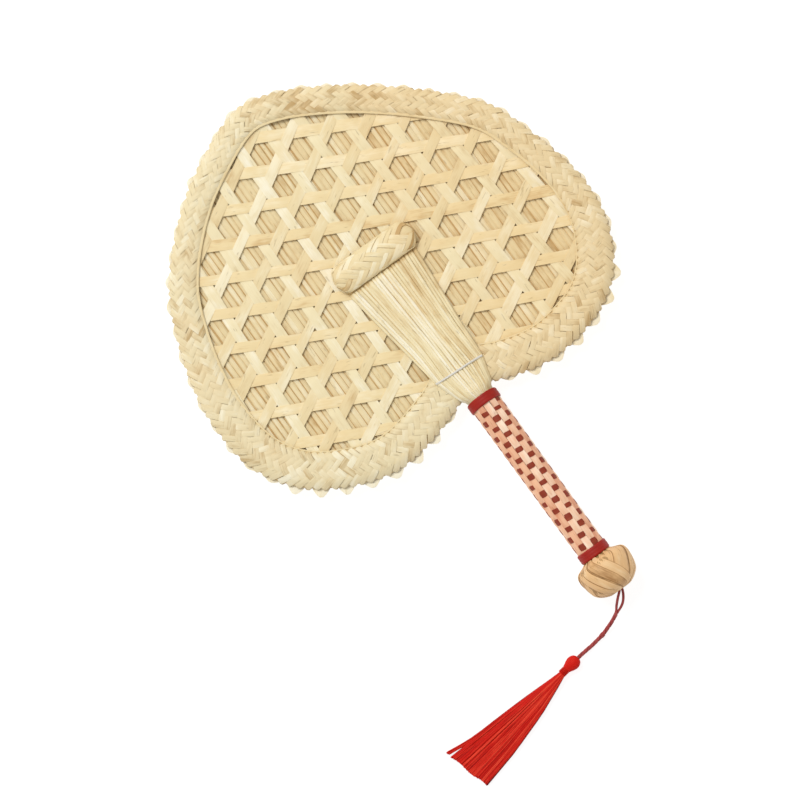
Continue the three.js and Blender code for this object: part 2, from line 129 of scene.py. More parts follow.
def route_to_row(points):
    """Cord route to the row frame, in metres: plan from the hole's mouth, height from the table."""
    return points * MM + CORD_EXIT * (1, 1, 0)


def tassel_to_row(points):
    """Tassel's own frame to the row frame, in metres."""
    c, s = math.cos(TASSEL_TURN), math.sin(TASSEL_TURN)
    turn = np.array(((c, -s, 0), (s, c, 0), (0, 0, 1)))
    return route_to_row(points @ turn.T + HEAD_POINT)


def fan_box(node):
    """Lowest and highest corner of a CAD node in the fan's own frame."""
    vertices = frame["nodes"][node].data.vertices
    points = np.empty(3 * len(vertices), np.float32)
    vertices.foreach_get("co", points)
    local = (points.reshape(-1, 3) - FAN_ORIGIN) @ TILT / MM
    return local.min(axis=0), local.max(axis=0)


def curve_through(points, per_span, closed=False):
    """Centripetal Catmull-Rom curve: cubics whose slopes weigh steps by the roots of their lengths."""
    points = np.asarray(points, float)
    if closed:
        padded = np.concatenate([points[-1:], points, points[:2]])
    else:
        padded = np.concatenate([2 * points[:1] - points[1:2], points, 2 * points[-1:] - points[-2:-1]])
    padded = padded[:, None]
    steps = np.diff(padded, axis=0)
    roots = np.sqrt(np.linalg.norm(steps, axis=2, keepdims=True))
    rates = steps / roots
    slopes = rates[:-1] - (padded[2:] - padded[:-2]) / (roots[:-1] + roots[1:]) + rates[1:]
    w = np.linspace(0, 1, per_span, endpoint=False)[:, None]
    curve = (
        (2 * w**3 - 3 * w**2 + 1) * padded[1:-2]
        + (w**3 - 2 * w**2 + w) * (slopes[:-1] * roots[1:-1])
        + (3 * w**2 - 2 * w**3) * padded[2:-1]
        + (w**3 - w**2) * (slopes[1:] * roots[1:-1])
    ).reshape(-1, points.shape[1])
    return curve if closed else np.concatenate([curve, points[-1:]])


def distances(path):
    """Length along the path up to each of its points."""
    steps = np.linalg.norm(np.diff(path, axis=-2), axis=-1)
    return np.concatenate([np.zeros_like(steps[..., :1]), np.cumsum(steps, axis=-1)], axis=-1)


def oval(half_width, half_thick, sides):
    """Profile of an elliptical tube: half_width cos angle, half_thick sin angle."""
    angle = 2 * np.pi * (np.arange(sides) + 0.5) / sides
    half_width, half_thick = (np.asarray(half)[..., None] for half in (half_width, half_thick))
    return stacked(half_width * np.cos(angle), half_thick * np.sin(angle))


def ribbon(half_width, thickness, crown, across=4):
    """Profile of a flat strip: its top bulges by crown (1 - b^2), and its underside follows at thickness."""
    b = np.linspace(-1, 1, across)
    around = np.concatenate([b, b[::-1]])
    height = crown * (1 - around**2) + np.repeat((0.5, -0.5), across) * thickness
    return stacked(np.asarray(half_width)[..., None] * around, height)


def sweep(path, profile, up):
    """Rings of a profile carried along paths: path + profile x * side + profile y * top.

    path is (sweeps, stations, 3). The side is square to the path and to up, the top square to both. The
    grain that comes with the rings is the length along the path and the two profile offsets.
    """
    along = unit(np.gradient(path, axis=1))
    side = unit(np.cross(along, up))
    top = np.cross(side, along)
    profile = np.broadcast_to(profile, path.shape[:2] + profile.shape[-2:])
    rings = path[:, :, None] + profile[..., :1] * side[:, :, None] + profile[..., 1:] * top[:, :, None]
    length = np.broadcast_to(distances(path)[:, :, None, None], profile.shape[:3] + (1,))
    return rings, np.concatenate([length, profile], axis=-1)


def sweep_quads(stations, ring, is_loop):
    """Quads between neighbouring rings, and over both ends where the sweep isn't a loop: an end pairs
    point j of its ring with point ring - 1 - j."""
    row = np.arange(stations if is_loop else stations - 1)[:, None]
    column = np.arange(ring)[None]
    next_row = (row + 1) % stations
    next_column = (column + 1) % ring
    corners = ((row, column), (row, next_column), (next_row, next_column), (next_row, column))
    sides = np.stack([r * ring + c for r, c in corners], axis=-1).reshape(-1, 4)
    if is_loop:
        return sides
    j = np.arange(ring // 2 - 1)
    cap = np.stack([j, j + 1, ring - 2 - j, ring - 1 - j], axis=-1)
    return np.concatenate([sides, cap[:, ::-1], cap + (stations - 1) * ring])


def signed_volumes(points, quads):
    """Volume of each sweep from the tetrahedra between its middle and its faces."""
    a, b, c, d = (points[:, quads[:, k]] - points.mean(axis=1, keepdims=True) for k in range(4))
    return np.einsum("sfk,sfk->s", a, np.cross(b, c) + np.cross(c, d)) / 6


def add_object(name, data):
    thing = bpy.data.objects.new(name, data)
    bpy.context.scene.collection.objects.link(thing)
    return thing


GRAIN_STEP = np.array((31.7, 5.3, 2.9))  # shift of the grain from sweep to sweep


def add_piece(name, rings, grain, tone, material, is_loop=False):
    """Mesh of sweeps in the row frame, with each sweep's faces outward and its own stretch of grain."""
    sweeps, stations, ring, _ = rings.shape
    points = rings.reshape(sweeps, -1, 3)
    quads = sweep_quads(stations, ring, is_loop)
    faces = quads + np.arange(sweeps)[:, None, None] * stations * ring
    inside_out = signed_volumes(points, quads) < 0
    faces[inside_out] = faces[inside_out][:, :, ::-1]
    mesh = bpy.data.meshes.new(name)
    mesh.from_pydata(points.reshape(-1, 3).tolist(), [], faces.reshape(-1, 4).tolist())
    mesh.shade_smooth()
    mesh.set_sharp_from_angle(angle=math.radians(50))
    shifted = grain + np.arange(sweeps)[:, None, None, None] * GRAIN_STEP
    grain_layer = mesh.attributes.new("grain", "FLOAT_VECTOR", "POINT")
    grain_layer.data.foreach_set("vector", shifted.astype(np.float32).ravel())
    tone_layer = mesh.attributes.new("tone", "FLOAT", "POINT")
    tones = np.broadcast_to(tone, rings.shape[:3])
    tone_layer.data.foreach_set("value", tones.astype(np.float32).ravel())
    mesh.materials.append(material)
    return add_object(name, mesh)


def dress(piece, slot, *nodes, body="fan"):
    """The piece rides on a body and stands for the CAD nodes, if any, which it hides. The slot is not used."""
    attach(piece, body)
    if nodes:
        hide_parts(*nodes)
    return piece


def add_fan_piece(name, rings, grain, tone, material, slot, *nodes, is_loop=False):
    """Piece given in the fan's own frame, which rides on the fan."""
    dress(add_piece(name, to_row(rings), grain, tone, material, is_loop), slot, *nodes)


# Finishes


def colour(red, green, blue):
    """Linear colour from the 0 to 255 values of a screen."""
    screen = np.array((red, green, blue)) / 255
    linear = np.where(screen > 0.04045, ((screen + 0.055) / 1.055) ** 2.4, screen / 12.92)
    return (*linear.tolist(), 1.0)


def fill(tree, node, inputs):
    """Links inputs of a node, or sets their values."""
    for key, value in inputs.items():
        if isinstance(value, bpy.types.NodeSocket):
            tree.links.new(value, node.inputs[key])
        else:
            node.inputs[key].default_value = value


def add_node(tree, kind, inputs, **settings):
    """Adds a node with its inputs and properties, and gives its outputs."""
    node = tree.nodes.new(kind)
    for key, value in settings.items():
        setattr(node, key, value)
    fill(tree, node, inputs)
    return node.outputs


def compute(tree, operation, a, b=0.0, c=0.0):
    return add_node(tree, "ShaderNodeMath", {0: a, 1: b, 2: c}, operation=operation)[0]


def mix_colours(tree, share, a, b, blend_type="MIX"):
    inputs = {0: share, 6: a, 7: b}
    return add_node(tree, "ShaderNodeMix", inputs, data_type="RGBA", blend_type=blend_type)[2]


def ramp(tree, value, low, high):
    """0 at low, 1 at high, smooth between."""
    inputs = {"Value": value, "From Min": low, "From Max": high}
    return add_node(tree, "ShaderNodeMapRange", inputs, interpolation_type="SMOOTHSTEP")[0]


def noise(tree, grain, along, across, detail):
    """Cloud of 0 to 1, stretched along the grain; along and across are its changes per millimetre."""
    scale = add_node(tree, "ShaderNodeCombineXYZ", {"X": along, "Y": across, "Z": across})[0]
    stretched = add_node(tree, "ShaderNodeVectorMath", {0: grain, 1: scale}, operation="MULTIPLY")[0]
    inputs = {"Vector": stretched, "Scale": 1.0, "Detail": detail, "Roughness": 0.6}
    return add_node(tree, "ShaderNodeTexNoise", inputs)[0]


CLOUDS = 0.9  # share of the broad clouds in the tone
STAIN_DEPTH = 0.72  # what a stain leaves of the dark colour
BLUSH = (1.0, 0.88, 0.75, 1.0)  # what a full blush leaves of red, green and blue
BLUSH_LEFT, BLUSH_RIGHT = -20, 120  # X between which it grows


def fibre_group():
    """Fibres along the grain: fine streaks and broad clouds shift the tone from a dark over a middle to a
    light colour, sparse stains darken it, and a blush warms it in patches, more to the right of the blade.
    The streaks are also the height."""
    tree = bpy.data.node_groups.new("fibres", "ShaderNodeTree")
    sockets = (
        ("INPUT", "NodeSocketVector", ("Grain", "Place")),
        ("INPUT", "NodeSocketFloat", ("Tone", "Fineness", "Streaks", "Stains", "Gloss", "Blush")),
        ("INPUT", "NodeSocketColor", ("Dark", "Middle", "Light", "Stain")),
        ("OUTPUT", "NodeSocketColor", ("Colour",)),
        ("OUTPUT", "NodeSocketFloat", ("Roughness", "Height")),
    )
    for in_out, kind, names in sockets:
        for name in names:
            tree.interface.new_socket(name, in_out=in_out, socket_type=kind)
    given = add_node(tree, "NodeGroupInput", {})
    streak = noise(tree, given["Grain"], along=0.05, across=given["Fineness"], detail=3.0)
    cloud = noise(tree, given["Grain"], along=0.07, across=0.16, detail=2.0)
    blot = noise(tree, given["Grain"], along=0.11, across=0.5, detail=2.0)
    patch = noise(tree, given["Place"], along=0.03, across=0.03, detail=2.0)
    streak_shift, cloud_shift = (compute(tree, "SUBTRACT", each, 0.5) for each in (streak, cloud))
    streaked = compute(tree, "MULTIPLY_ADD", streak_shift, given["Streaks"], given["Tone"])
    tone = compute(tree, "MULTIPLY_ADD", cloud_shift, CLOUDS, streaked)
    dark_to_middle = mix_colours(tree, ramp(tree, tone, 0.0, 0.5), given["Dark"], given["Middle"])
    clean = mix_colours(tree, ramp(tree, tone, 0.5, 1.0), dark_to_middle, given["Light"])
    stain = compute(tree, "MULTIPLY", ramp(tree, blot, 0.62, 0.75), given["Stains"])
    stained = mix_colours(tree, stain, clean, given["Stain"])
    place = add_node(tree, "ShaderNodeSeparateXYZ", {0: given["Place"]})
    rightness = ramp(tree, place["X"], BLUSH_LEFT, BLUSH_RIGHT)
    warmth = compute(tree, "MULTIPLY_ADD", rightness, 0.5, patch)
    blush = compute(tree, "MULTIPLY", ramp(tree, warmth, 0.42, 0.95), given["Blush"])
    done = {
        "Colour": mix_colours(tree, blush, stained, BLUSH, blend_type="MULTIPLY"),
        "Roughness": compute(tree, "MULTIPLY_ADD", streak, 0.3, given["Gloss"]),
        "Height": streak,
    }
    add_node(tree, "NodeGroupOutput", done)
    return tree


FIBRES = fibre_group()


def fibre_material(name, dark, middle, light, fineness=1.6, streaks=0.5, stains=0.35, gloss=0.4, shine=0.35,
                   blush=0.0, is_solid=False):
    """Finish of one fibre, from the piece's grain and tone, or in a solid CAD node along its own Y."""
    material = bpy.data.materials.new(name)
    material.use_nodes = True
    tree = material.node_tree
    metres = add_node(tree, "ShaderNodeTexCoord", {})["Object"]
    scaled = {0: metres, "Scale": 1 / MM}
    place = add_node(tree, "ShaderNodeVectorMath", scaled, operation="SCALE")[0]
    if is_solid:
        turned = {"Vector": place, "Rotation": (0, 0, math.pi / 2)}
        grain = add_node(tree, "ShaderNodeMapping", turned)["Vector"]
        tone = 0.5
    else:
        grain = add_node(tree, "ShaderNodeAttribute", {}, attribute_name="grain")["Vector"]
        tone = add_node(tree, "ShaderNodeAttribute", {}, attribute_name="tone")["Fac"]
    inputs = {
        "Grain": grain, "Tone": tone, "Dark": colour(*dark), "Middle": colour(*middle),
        "Light": colour(*light), "Stain": colour(*(STAIN_DEPTH * np.array(dark))), "Fineness": fineness,
        "Streaks": streaks, "Stains": stains, "Gloss": gloss, "Place": place, "Blush": blush,
    }
    fibres = add_node(tree, "ShaderNodeGroup", inputs, node_tree=FIBRES)
    height = {"Height": fibres["Height"], "Strength": 0.12, "Distance": 0.0004}
    normal = add_node(tree, "ShaderNodeBump", height)["Normal"]
    fill(tree, tree.nodes["Principled BSDF"], {
        "Base Color": fibres["Colour"], "Roughness": fibres["Roughness"], "Normal": normal,
        "Specular IOR Level": shine,
    })
    return material


STRAW = fibre_material("straw", (198, 163, 107), (232, 212, 165), (244, 233, 200), blush=0.45)
PALE_STRAW = fibre_material("pale_straw", (209, 181, 128), (237, 222, 180), (247, 239, 214), blush=0.4)
WARM_STRAW = fibre_material("warm_straw", (205, 167, 109), (236, 214, 164), (246, 232, 195), blush=0.45)
BORDER_STRAW = fibre_material("border_straw", (192, 163, 112), (231, 215, 174), (244, 236, 208), blush=0.7)
TAN_STRAW = fibre_material("tan_straw", (140, 104, 58), (206, 164, 112), (230, 198, 150))
PEACH_STRIP = fibre_material("peach_strip", (220, 148, 112), (241, 187, 150), (252, 226, 200))
KNOB_STRAW = fibre_material("knob_straw", (160, 112, 62), (231, 187, 133), (244, 213, 168))
STICK_WOOD = fibre_material("stick_wood", (120, 84, 44), (176, 136, 82), (206, 170, 116), is_solid=True)
RED_STRIP = fibre_material("red_strip", (92, 28, 12), (142, 50, 24), (174, 86, 54), streaks=0.4, stains=0.2)
RED_BAND = fibre_material("red_band", (108, 10, 4), (158, 24, 8), (186, 50, 24), streaks=0.4, stains=0.2)
RED_CORD = fibre_material("red_cord", (112, 34, 34), (162, 62, 60), (200, 104, 100), fineness=4.0, gloss=0.5)
RED_SILK = fibre_material("red_silk", (114, 8, 5), (206, 26, 14), (234, 72, 48), fineness=3.0, streaks=0.7,
                          stains=0.2, gloss=0.45, shine=0.12)
WHITE_THREAD = fibre_material("white_thread", (190, 184, 172), (224, 219, 208), (244, 241, 234),
                              fineness=4.0, stains=0.1)


# Camera

VIEW_CENTRE = to_row(PHOTO_MIDDLE) * (1, 1, 0) + (0, 0, BLADE_HEIGHT)


def add_camera():
    data = bpy.data.cameras.new("photo_view")
    data.lens = LENS
    data.sensor_width = SENSOR
    camera = add_object("photo_view", data)
    camera.location = VIEW_CENTRE + np.array((0, 0, PHOTO_SPAN * LENS / SENSOR))
    camera.rotation_euler = (0, 0, VIEW_TURN)
    bpy.context.scene.camera = camera


add_camera()


# Cord: two strands that bow apart out of the knob, are knotted together, and run twisted to the tassel

CORD_STEPS = 8  # points of its middle line for each span of the route
CORD_LINE = curve_through(CORD_ROUTE, CORD_STEPS)
CORD_RUN = distances(CORD_LINE) - distances(CORD_LINE)[CORD_STEPS]  # length from the mouth of the hole
KNOT_RUN = CORD_RUN[CORD_STEPS * KNOT]

STRAND_RADIUS = 0.9
STRAND_SPREAD = 1.0  # how far the strands bow apart at first
STRANDS_MEET = 17.0  # length from the hole to where they come together
TWIST_APART = 0.62  # from there on, between the cord's middle line and each strand's
TWIST_HALF_WIDTH = 1.2  # strands flatten where they press together
TWIST_HALF_THICK = 0.74
TWIST_PITCH = 12.0

HELIX_POINTS = 24  # for each turn of a wound thread


def along_cord(run):
    """Points of the cord's middle line at lengths from the hole."""
    return stacked(*(np.interp(run, CORD_RUN, CORD_LINE[:, k]) for k in range(3)))


def arms(line, angle):
    """Directions square to a line, side cos angle + up sin angle with a level side, and the line's own."""
    along = unit(np.gradient(line, axis=0))
    side = unit(np.cross(along, UP))
    return side * np.cos(angle) + np.cross(side, along) * np.sin(angle), along


def add_strand(name, turn, tone):
    """Tube round the cord's line + apart times an outward arm. Past the place where the strands meet, the
    arm's angle grows by a full turn for each pitch. Before it apart bows out, and about there the tube is
    pressed flat."""
    pressed = smooth(2 * CORD_RUN / STRANDS_MEET - 1.5)
    bow = np.sin(np.pi * np.clip(CORD_RUN / STRANDS_MEET, 0, 1))
    apart = lerp(STRAND_RADIUS, TWIST_APART, pressed) + STRAND_SPREAD * bow
    angle = turn + 2 * np.pi * np.maximum(CORD_RUN - STRANDS_MEET, 0)[:, None] / TWIST_PITCH
    arm, _ = arms(CORD_LINE, angle)
    path = CORD_LINE + apart[:, None] * arm
    half_width = lerp(STRAND_RADIUS, TWIST_HALF_WIDTH, pressed)
    half_thick = lerp(STRAND_RADIUS, TWIST_HALF_THICK, pressed)
    rings, grain = sweep(path[None], oval(half_width, half_thick, 10), arm[None])
    strand = add_piece(name, route_to_row(rings), grain, tone, RED_CORD)
    return strand, route_to_row(path)


def add_whipping():
    """Thread whipped round the cord at its knot: a helix about its line that swells in the middle."""
    turns, length, thread = 4, 2.6, 0.36
    share = np.linspace(0, 1, HELIX_POINTS * turns)
    middle = along_cord(KNOT_RUN + (share - 0.5) * length)
    arm, along = arms(middle, 2 * np.pi * turns * share[:, None])
    radius = 1.3 + 0.12 * np.sin(np.pi * share)[:, None]
    rings, grain = sweep((middle + radius * arm)[None], oval(thread, thread, 8), along[None])
    return add_piece("cord_whipping", route_to_row(rings), grain, 0.45, RED_CORD)


def add_silk(name, rings, grain, tone, node):
    """Piece given in the tassel's own frame, which rides on the tassel."""
    piece = add_piece(name, tassel_to_row(rings), grain, tone, RED_SILK)
    return dress(piece, "red_silk", node, body="tassel")


HEAD_Y = np.array((5.4, 5.0, 4.2, 2.7, 1.0, -0.6, -2.4, -4.2, -5.6))
HEAD_PROFILE = (1.0, 2.2, 3.4, 4.35, 4.75, 4.7, 4.2, 3.45, 2.95)  # radius at these


def add_tassel_head():
    """Silk drawn over a ball: a turned shape whose radius is a profile times a fine ripple round it."""
    y = np.linspace(HEAD_Y[0], HEAD_Y[-1], 25)[:, None]
    profile = np.interp(-y, -HEAD_Y, HEAD_PROFILE)
    angle = turn_angles(96)
    ripple = np.abs(np.sin(16 * angle + 0.4 * np.sin(3 * angle)))
    radius = profile * (1 - 0.045 * ripple)
    rings = stacked(radius * np.cos(angle), y, radius * np.sin(angle))[None]
    grain = stacked(y, profile * angle, 0.0)[None]
    return add_silk("silk_head", rings, grain, 0.52, "tassel_head")


def add_neck_wrap():
    """Silk thread wound round the neck: a helix, turn beside turn, tighter at its ends and middle."""
    turns, top, bottom = 7, -5.6, -10.4
    share = np.linspace(0, 1, HELIX_POINTS * turns)
    angle = 2 * np.pi * turns * share
    radius = 2.62 - 0.12 * np.cos(np.pi * (2 * share - 1)) ** 2
    path = stacked(radius * np.cos(angle), lerp(top, bottom, share), radius * np.sin(angle))
    rings, grain = sweep(path[None], oval(0.4, 0.32, 8), (0, 1, 0))
    return add_silk("silk_neck_wrap", rings, grain, 0.5, "tassel_neck_wrap")


SKIRT_TOP = -9.6
SKIRT_LENGTH = 91.5
SKIRT_HALF = 18.4
SKIRT_NECK = 2.2  # half width of the bundle that leaves the neck
SKIRT_STATIONS = (0, 0.1, 0.33, 0.68, 1)
SKIRT_SPREAD = (0, 0.11, 0.39, 0.74, 1)  # on the side of the stray lock
SKIRT_FULL = (0, 0.16, 0.49, 0.82, 1)  # on the other side
SKIRT_HALF_THICK = (2.1, 2.8, 3.3, 2.8, 2.1)
SKIRT_CLEARANCE = 0.35  # above the table
LOCK_WIDTH = 2.4  # of the locks in which strands cling together


def skirt_strands(rng, count, low, high, parting=0.0):
    """Strands that leave the neck in a bundle and spread flat: across = lerp(bundle, end, spread), height =
    half thickness of the lens they fill, times their own level in it. Ends draw together in locks, and a
    parting turns strands off in the last third of their length."""
    end = rng.uniform(low, high, count)
    lock = np.round((end + 0.8 * rng.normal(size=count)) / LOCK_WIDTH) * LOCK_WIDTH
    end = lerp(end, lock, 0.4)
    level = rng.uniform(-1, 1, count)
    share = np.linspace(0, 1, 11)
    slack, full, thick = (
        np.interp(share, SKIRT_STATIONS, each) for each in (SKIRT_SPREAD, SKIRT_FULL, SKIRT_HALF_THICK)
    )
    spread = lerp(slack, full, smooth((end + 12) / 24)[:, None])
    bundle = SKIRT_NECK * end / SKIRT_HALF
    bow = 0.5 * rng.normal(size=count)[:, None] * np.sin(np.pi * share) * share
    across = lerp(bundle[:, None], end[:, None], spread) + bow + parting * smooth((share - 0.7) / 0.45)
    lens = np.sqrt(np.clip(1 - (end / (1.04 * SKIRT_HALF)) ** 2, 0.05, 1))
    resting = (thick + SKIRT_CLEARANCE - HEAD_POINT[2]) * smooth(share / 0.25)
    height = resting + thick * (level * lens)[:, None]
    ragged = np.abs(rng.normal(size=count)) + 0.6 * np.sin(2.3 * lock)
    length = SKIRT_LENGTH - 0.9 * ragged - 0.12 * end
    path = stacked(across, SKIRT_TOP - length[:, None] * share, height)
    width = np.interp(share, (0, 0.25, 1), (0.3, 0.4, 0.42))
    # painted light and shade: besides their own tone, strands are lighter the higher they lie in the skirt
    tone = 0.46 + 0.2 * np.sin(1.9 * lock) + 0.12 * rng.normal(size=count) + 0.14 * level
    # painted shade: strands near both edges of the skirt darker
    tone = tone - 0.3 * smooth((np.abs(end - 3) - 10) / 6)
    rings, grain = sweep(path, oval(width, width * 0.9, 6), UP)
    return rings, grain, tone


def add_skirt():
    rng = np.random.default_rng(41)
    main = skirt_strands(rng, 640, -11.6, 18.2)
    stray = skirt_strands(rng, 30, -12.6, -10.8, parting=-5.0)
    rings, grain, tone = (np.concatenate(parts) for parts in zip(main, stray))
    add_silk("silk_skirt", rings, grain, tone[:, None, None], "tassel_skirt")


strand_a, path_a = add_strand("cord_strand_a", 0.0, 0.5)
strand_b, path_b = add_strand("cord_strand_b", math.pi, 0.42)
whipping = dress(add_whipping(), "red_cord", "cord_knot", body="cord_end")
head = add_tassel_head()
neck_wrap = add_neck_wrap()
add_skirt()

for strand, path, nodes, ending, on_it in (
    (strand_a, path_a, ("cord_strand_left", "cord_twist"), "fitting", [whipping, head, neck_wrap]),
    (strand_b, path_b, ("cord_strand_right", "cord_twist"), "knot", []),
):
    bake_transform(strand)
    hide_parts(*nodes)


# Blade: rim, straw mat, open weave and plaited border

RIM = curve_through(OUTLINE, 60, closed=True)
RIM = np.concatenate([RIM, RIM[:1]])
RIM_AT = distances(RIM)
RIM_LENGTH = RIM_AT[-1]
RIM_ALONG = unit(np.roll(RIM[:-1], -1, axis=0) - np.roll(RIM[:-1], 1, axis=0))
RIM_ALONG = np.concatenate([RIM_ALONG, RIM_ALONG[:1]])


def rim(share, inset):
    """X and Y at a share of the way round the blade, moved inwards, to the left of the way, by inset."""
    at = np.mod(share, 1) * RIM_LENGTH
    x, y, along_x, along_y = (np.interp(at, RIM_AT, each) for each in (*RIM.T, *RIM_ALONG.T))
    return x - along_y * inset, y + along_x * inset


def rim_cuts(axis, at, inset, edges):
    """Cuts of the inset rim by lines of one X each (axis 0) or one Y each (axis 1): whether each of the
    rim's edges crosses each line, and the other coordinate there."""
    corners = rim(np.arange(edges) / edges, inset)
    level, other = corners[axis], corners[1 - axis]
    next_level, next_other = np.roll(level, -1), np.roll(other, -1)
    crosses = (level > at[:, None]) != (next_level > at[:, None])
    with np.errstate(divide="ignore", invalid="ignore"):
        cut = other + (at[:, None] - level) * (next_other - other) / (next_level - level)
    return crosses, cut


STRAW_PITCH = 3.9
MAT_INSET = 7.2
MAT_REACH = 37  # most straws to either side of the middle
MAT_LAYERS = (  # shift in X, middle height, half width, half thickness, tone of the front and of the back
    (0.0, -0.95, 1.72, 0.62, 0.5, 0.5),
    # painted shade: the lower layer's front half is dark, so the gaps between the upper straws read as shade
    (STRAW_PITCH / 2, -1.5, 1.6, 0.42, 0.12, 0.5),
)


def mat_layer(rng, shift, middle, half_width, half_thick, front_tone, back_tone):
    """Straws side by side along Y, each from edge to edge of the inset rim and wandering by a slow sine."""
    x = np.arange(-MAT_REACH, MAT_REACH + 1) * STRAW_PITCH + shift
    crosses, cut = rim_cuts(0, x, MAT_INSET, 1200)
    bottom = np.where(crosses, cut, np.inf).min(axis=1)
    top = np.where(crosses, cut, -np.inf).max(axis=1)
    is_long = top - bottom > 4 * STRAW_PITCH
    x, bottom, top = (each[is_long, None] for each in (x, bottom, top))
    y = lerp(bottom, top, np.linspace(0, 1, 26))
    phase = rng.uniform(0, 2 * np.pi, x.shape)
    wander = 0.25 * np.sin(y / 34 + phase) + 0.1 * rng.normal(size=x.shape)
    sink = 0.06 * np.sin(y / 21 + 2.3 * phase) + 0.08 * rng.normal(size=x.shape)
    width = half_width * (1 + 0.09 * rng.normal(size=x.shape)) + 0.05 * np.sin(y / 13 + phase)
    rings, grain = sweep(stacked(x + wander, y, middle + sink), oval(width, half_thick, 10), UP)
    tone = np.where(grain[..., 2] > 0, front_tone, back_tone) + 0.14 * rng.normal(size=(len(x), 1, 1))
    return rings, grain, tone


def add_mat():
    rng = np.random.default_rng(7)
    layers = [mat_layer(rng, *layer) for layer in MAT_LAYERS]
    rings, grain, tone = (np.concatenate(parts) for parts in zip(*layers))
    add_fan_piece("mat_straws", rings, grain, tone, STRAW, "straw", "straw_mat")


STRIP_WIDTH = 7.1
STRIP_INSET = 11  # how far inside the rim a strip ends
MIDDLE_STRIP = 7  # of each family: number 0 of the lattice
TRIANGLE_HOLE = 0.15
HEX_COLUMNS = 12.32
HEX_PITCH = 2 * math.sqrt(3) * (STRIP_WIDTH + 2 * TRIANGLE_HOLE)
COLUMN_PITCH = BLADE_WIDTH / HEX_COLUMNS
WEAVE_MIDDLE = np.array((1.8, 129.2))
WEAVE_LEAN = math.radians(1.3)
WEAVE_TAPER = 0.18 / BLADE_LENGTH
WEAVE_Z = 1.3
WEAVE_LIFT = 0.26  # of a strip over a crossing
WEAVE_SQUARENESS = 2.4  # flattens the wave of a strip
STRIP_FINISH = {  # material and slot of each family
    "upright": (PALE_STRAW, "pale_straw"), "rising": (STRAW, "straw"), "falling": (WARM_STRAW, "warm_straw"),
}


def weave_point(column, row):
    """Point of the open weave: the lattice turned by its lean, its columns closing up towards the tip."""
    x, y = column * COLUMN_PITCH, row * HEX_PITCH
    c, s = math.cos(WEAVE_LEAN), math.sin(WEAVE_LEAN)
    x, y = c * x - s * y, s * x + c * y
    return WEAVE_MIDDLE[0] + x * (1 - WEAVE_TAPER * y), WEAVE_MIDDLE[1] + y


def strip_place(family, number, k):
    """Column and row of strip number at count k along it, which is whole at each crossing."""
    if family == "upright":
        return np.full_like(k, number + 0.5), k / 2 + 0.25
    slope = 0.25 if family == "rising" else -0.25
    return k / 2, slope * k + number + 0.5


def inside_rim(x, y, inset):
    """Whether points lie inside the inset rim: an odd number of its edges pass on their right."""
    crosses, cut = rim_cuts(1, y, inset, 600)
    return np.count_nonzero(crosses & (x[:, None] < cut), axis=1) % 2 == 1


def add_strip(node, rng):
    """Flat strip along its line of the lattice, over one crossing and under the next: its height is a
    flattened cosine of the count k."""
    family, ordinal = node.split("_strip_")
    number = int(ordinal) - MIDDLE_STRIP
    counts = np.linspace(-40, 40, 1601)
    within = counts[inside_rim(*weave_point(*strip_place(family, number, counts)), STRIP_INSET)]
    k = np.linspace(within[0], within[-1], 130)
    x, y = weave_point(*strip_place(family, number, k))
    shift = {"upright": number + 1, "rising": 0, "falling": 1}[family]
    wave = np.tanh(WEAVE_SQUARENESS * np.cos(np.pi * (k + shift))) / math.tanh(WEAVE_SQUARENESS)
    path = stacked(x, y, WEAVE_Z + WEAVE_LIFT * wave)[None]
    phase = rng.uniform(0, 2 * np.pi)
    path[0, :, :2] += rng.normal(scale=0.2, size=2) + 0.2 * np.sin(k[:, None] / 1.7 + phase)
    width = STRIP_WIDTH / 2 * (1 + 0.05 * rng.normal()) + 0.16 * np.sin(k / 1.3 + phase)
    rings, grain = sweep(path, ribbon(width, 0.32, 0.14, 5), UP)
    grain = grain + rng.uniform(0, 400, 3)
    tone = 0.58 + 0.14 * rng.normal()
    add_fan_piece(f"{node}_woven", rings, grain, tone, *STRIP_FINISH[family], node)


BORDER_WIDE = 26
BORDER_NARROW = 19.4
BORDER_COLUMNS = 4
BORDER_OVERHANG = 0.4  # of the outermost leaves past the rim
BORDER_CROWN = 4.62
OUTER_REACH, OUTER_FALL = 7.5, 3.3  # width and height of the crown's slope to the rim
INNER_REACH, INNER_FALL = 5.5, 2.5  # and of its slope to the inner edge
BORDER_SHARES = np.arange(480) / 480  # places of rings round the rim
LEAF_PITCH = 6.2


def border_width(share):
    """Width at a share of the way round: narrower towards the tip, and sooner so on the right."""
    x, y = rim(share, 0)
    narrowed = np.where(x > 0, smooth((y - 10) / 110), smooth((y - 50) / 175))
    return lerp(BORDER_WIDE, BORDER_NARROW, narrowed)


def border_height(inset, width):
    """Crown of the border: flat in the middle, falling by a square towards the outer and inner edge."""
    outer = np.clip(1 - inset / OUTER_REACH, 0, 1)
    inner = np.clip(1 - (width - inset) / INNER_REACH, 0, 1)
    return BORDER_CROWN - OUTER_FALL * outer**2 - INNER_FALL * inner**2


LEAF_TUCK = 1.22  # how far a leaf runs on under the leaves that cross its ends
LEAF_STATIONS = np.array((0, 0.11, 0.275, 0.5, 0.725, 0.89, 1))
LEAF_ACROSS = np.linspace(-1, 1, 4)


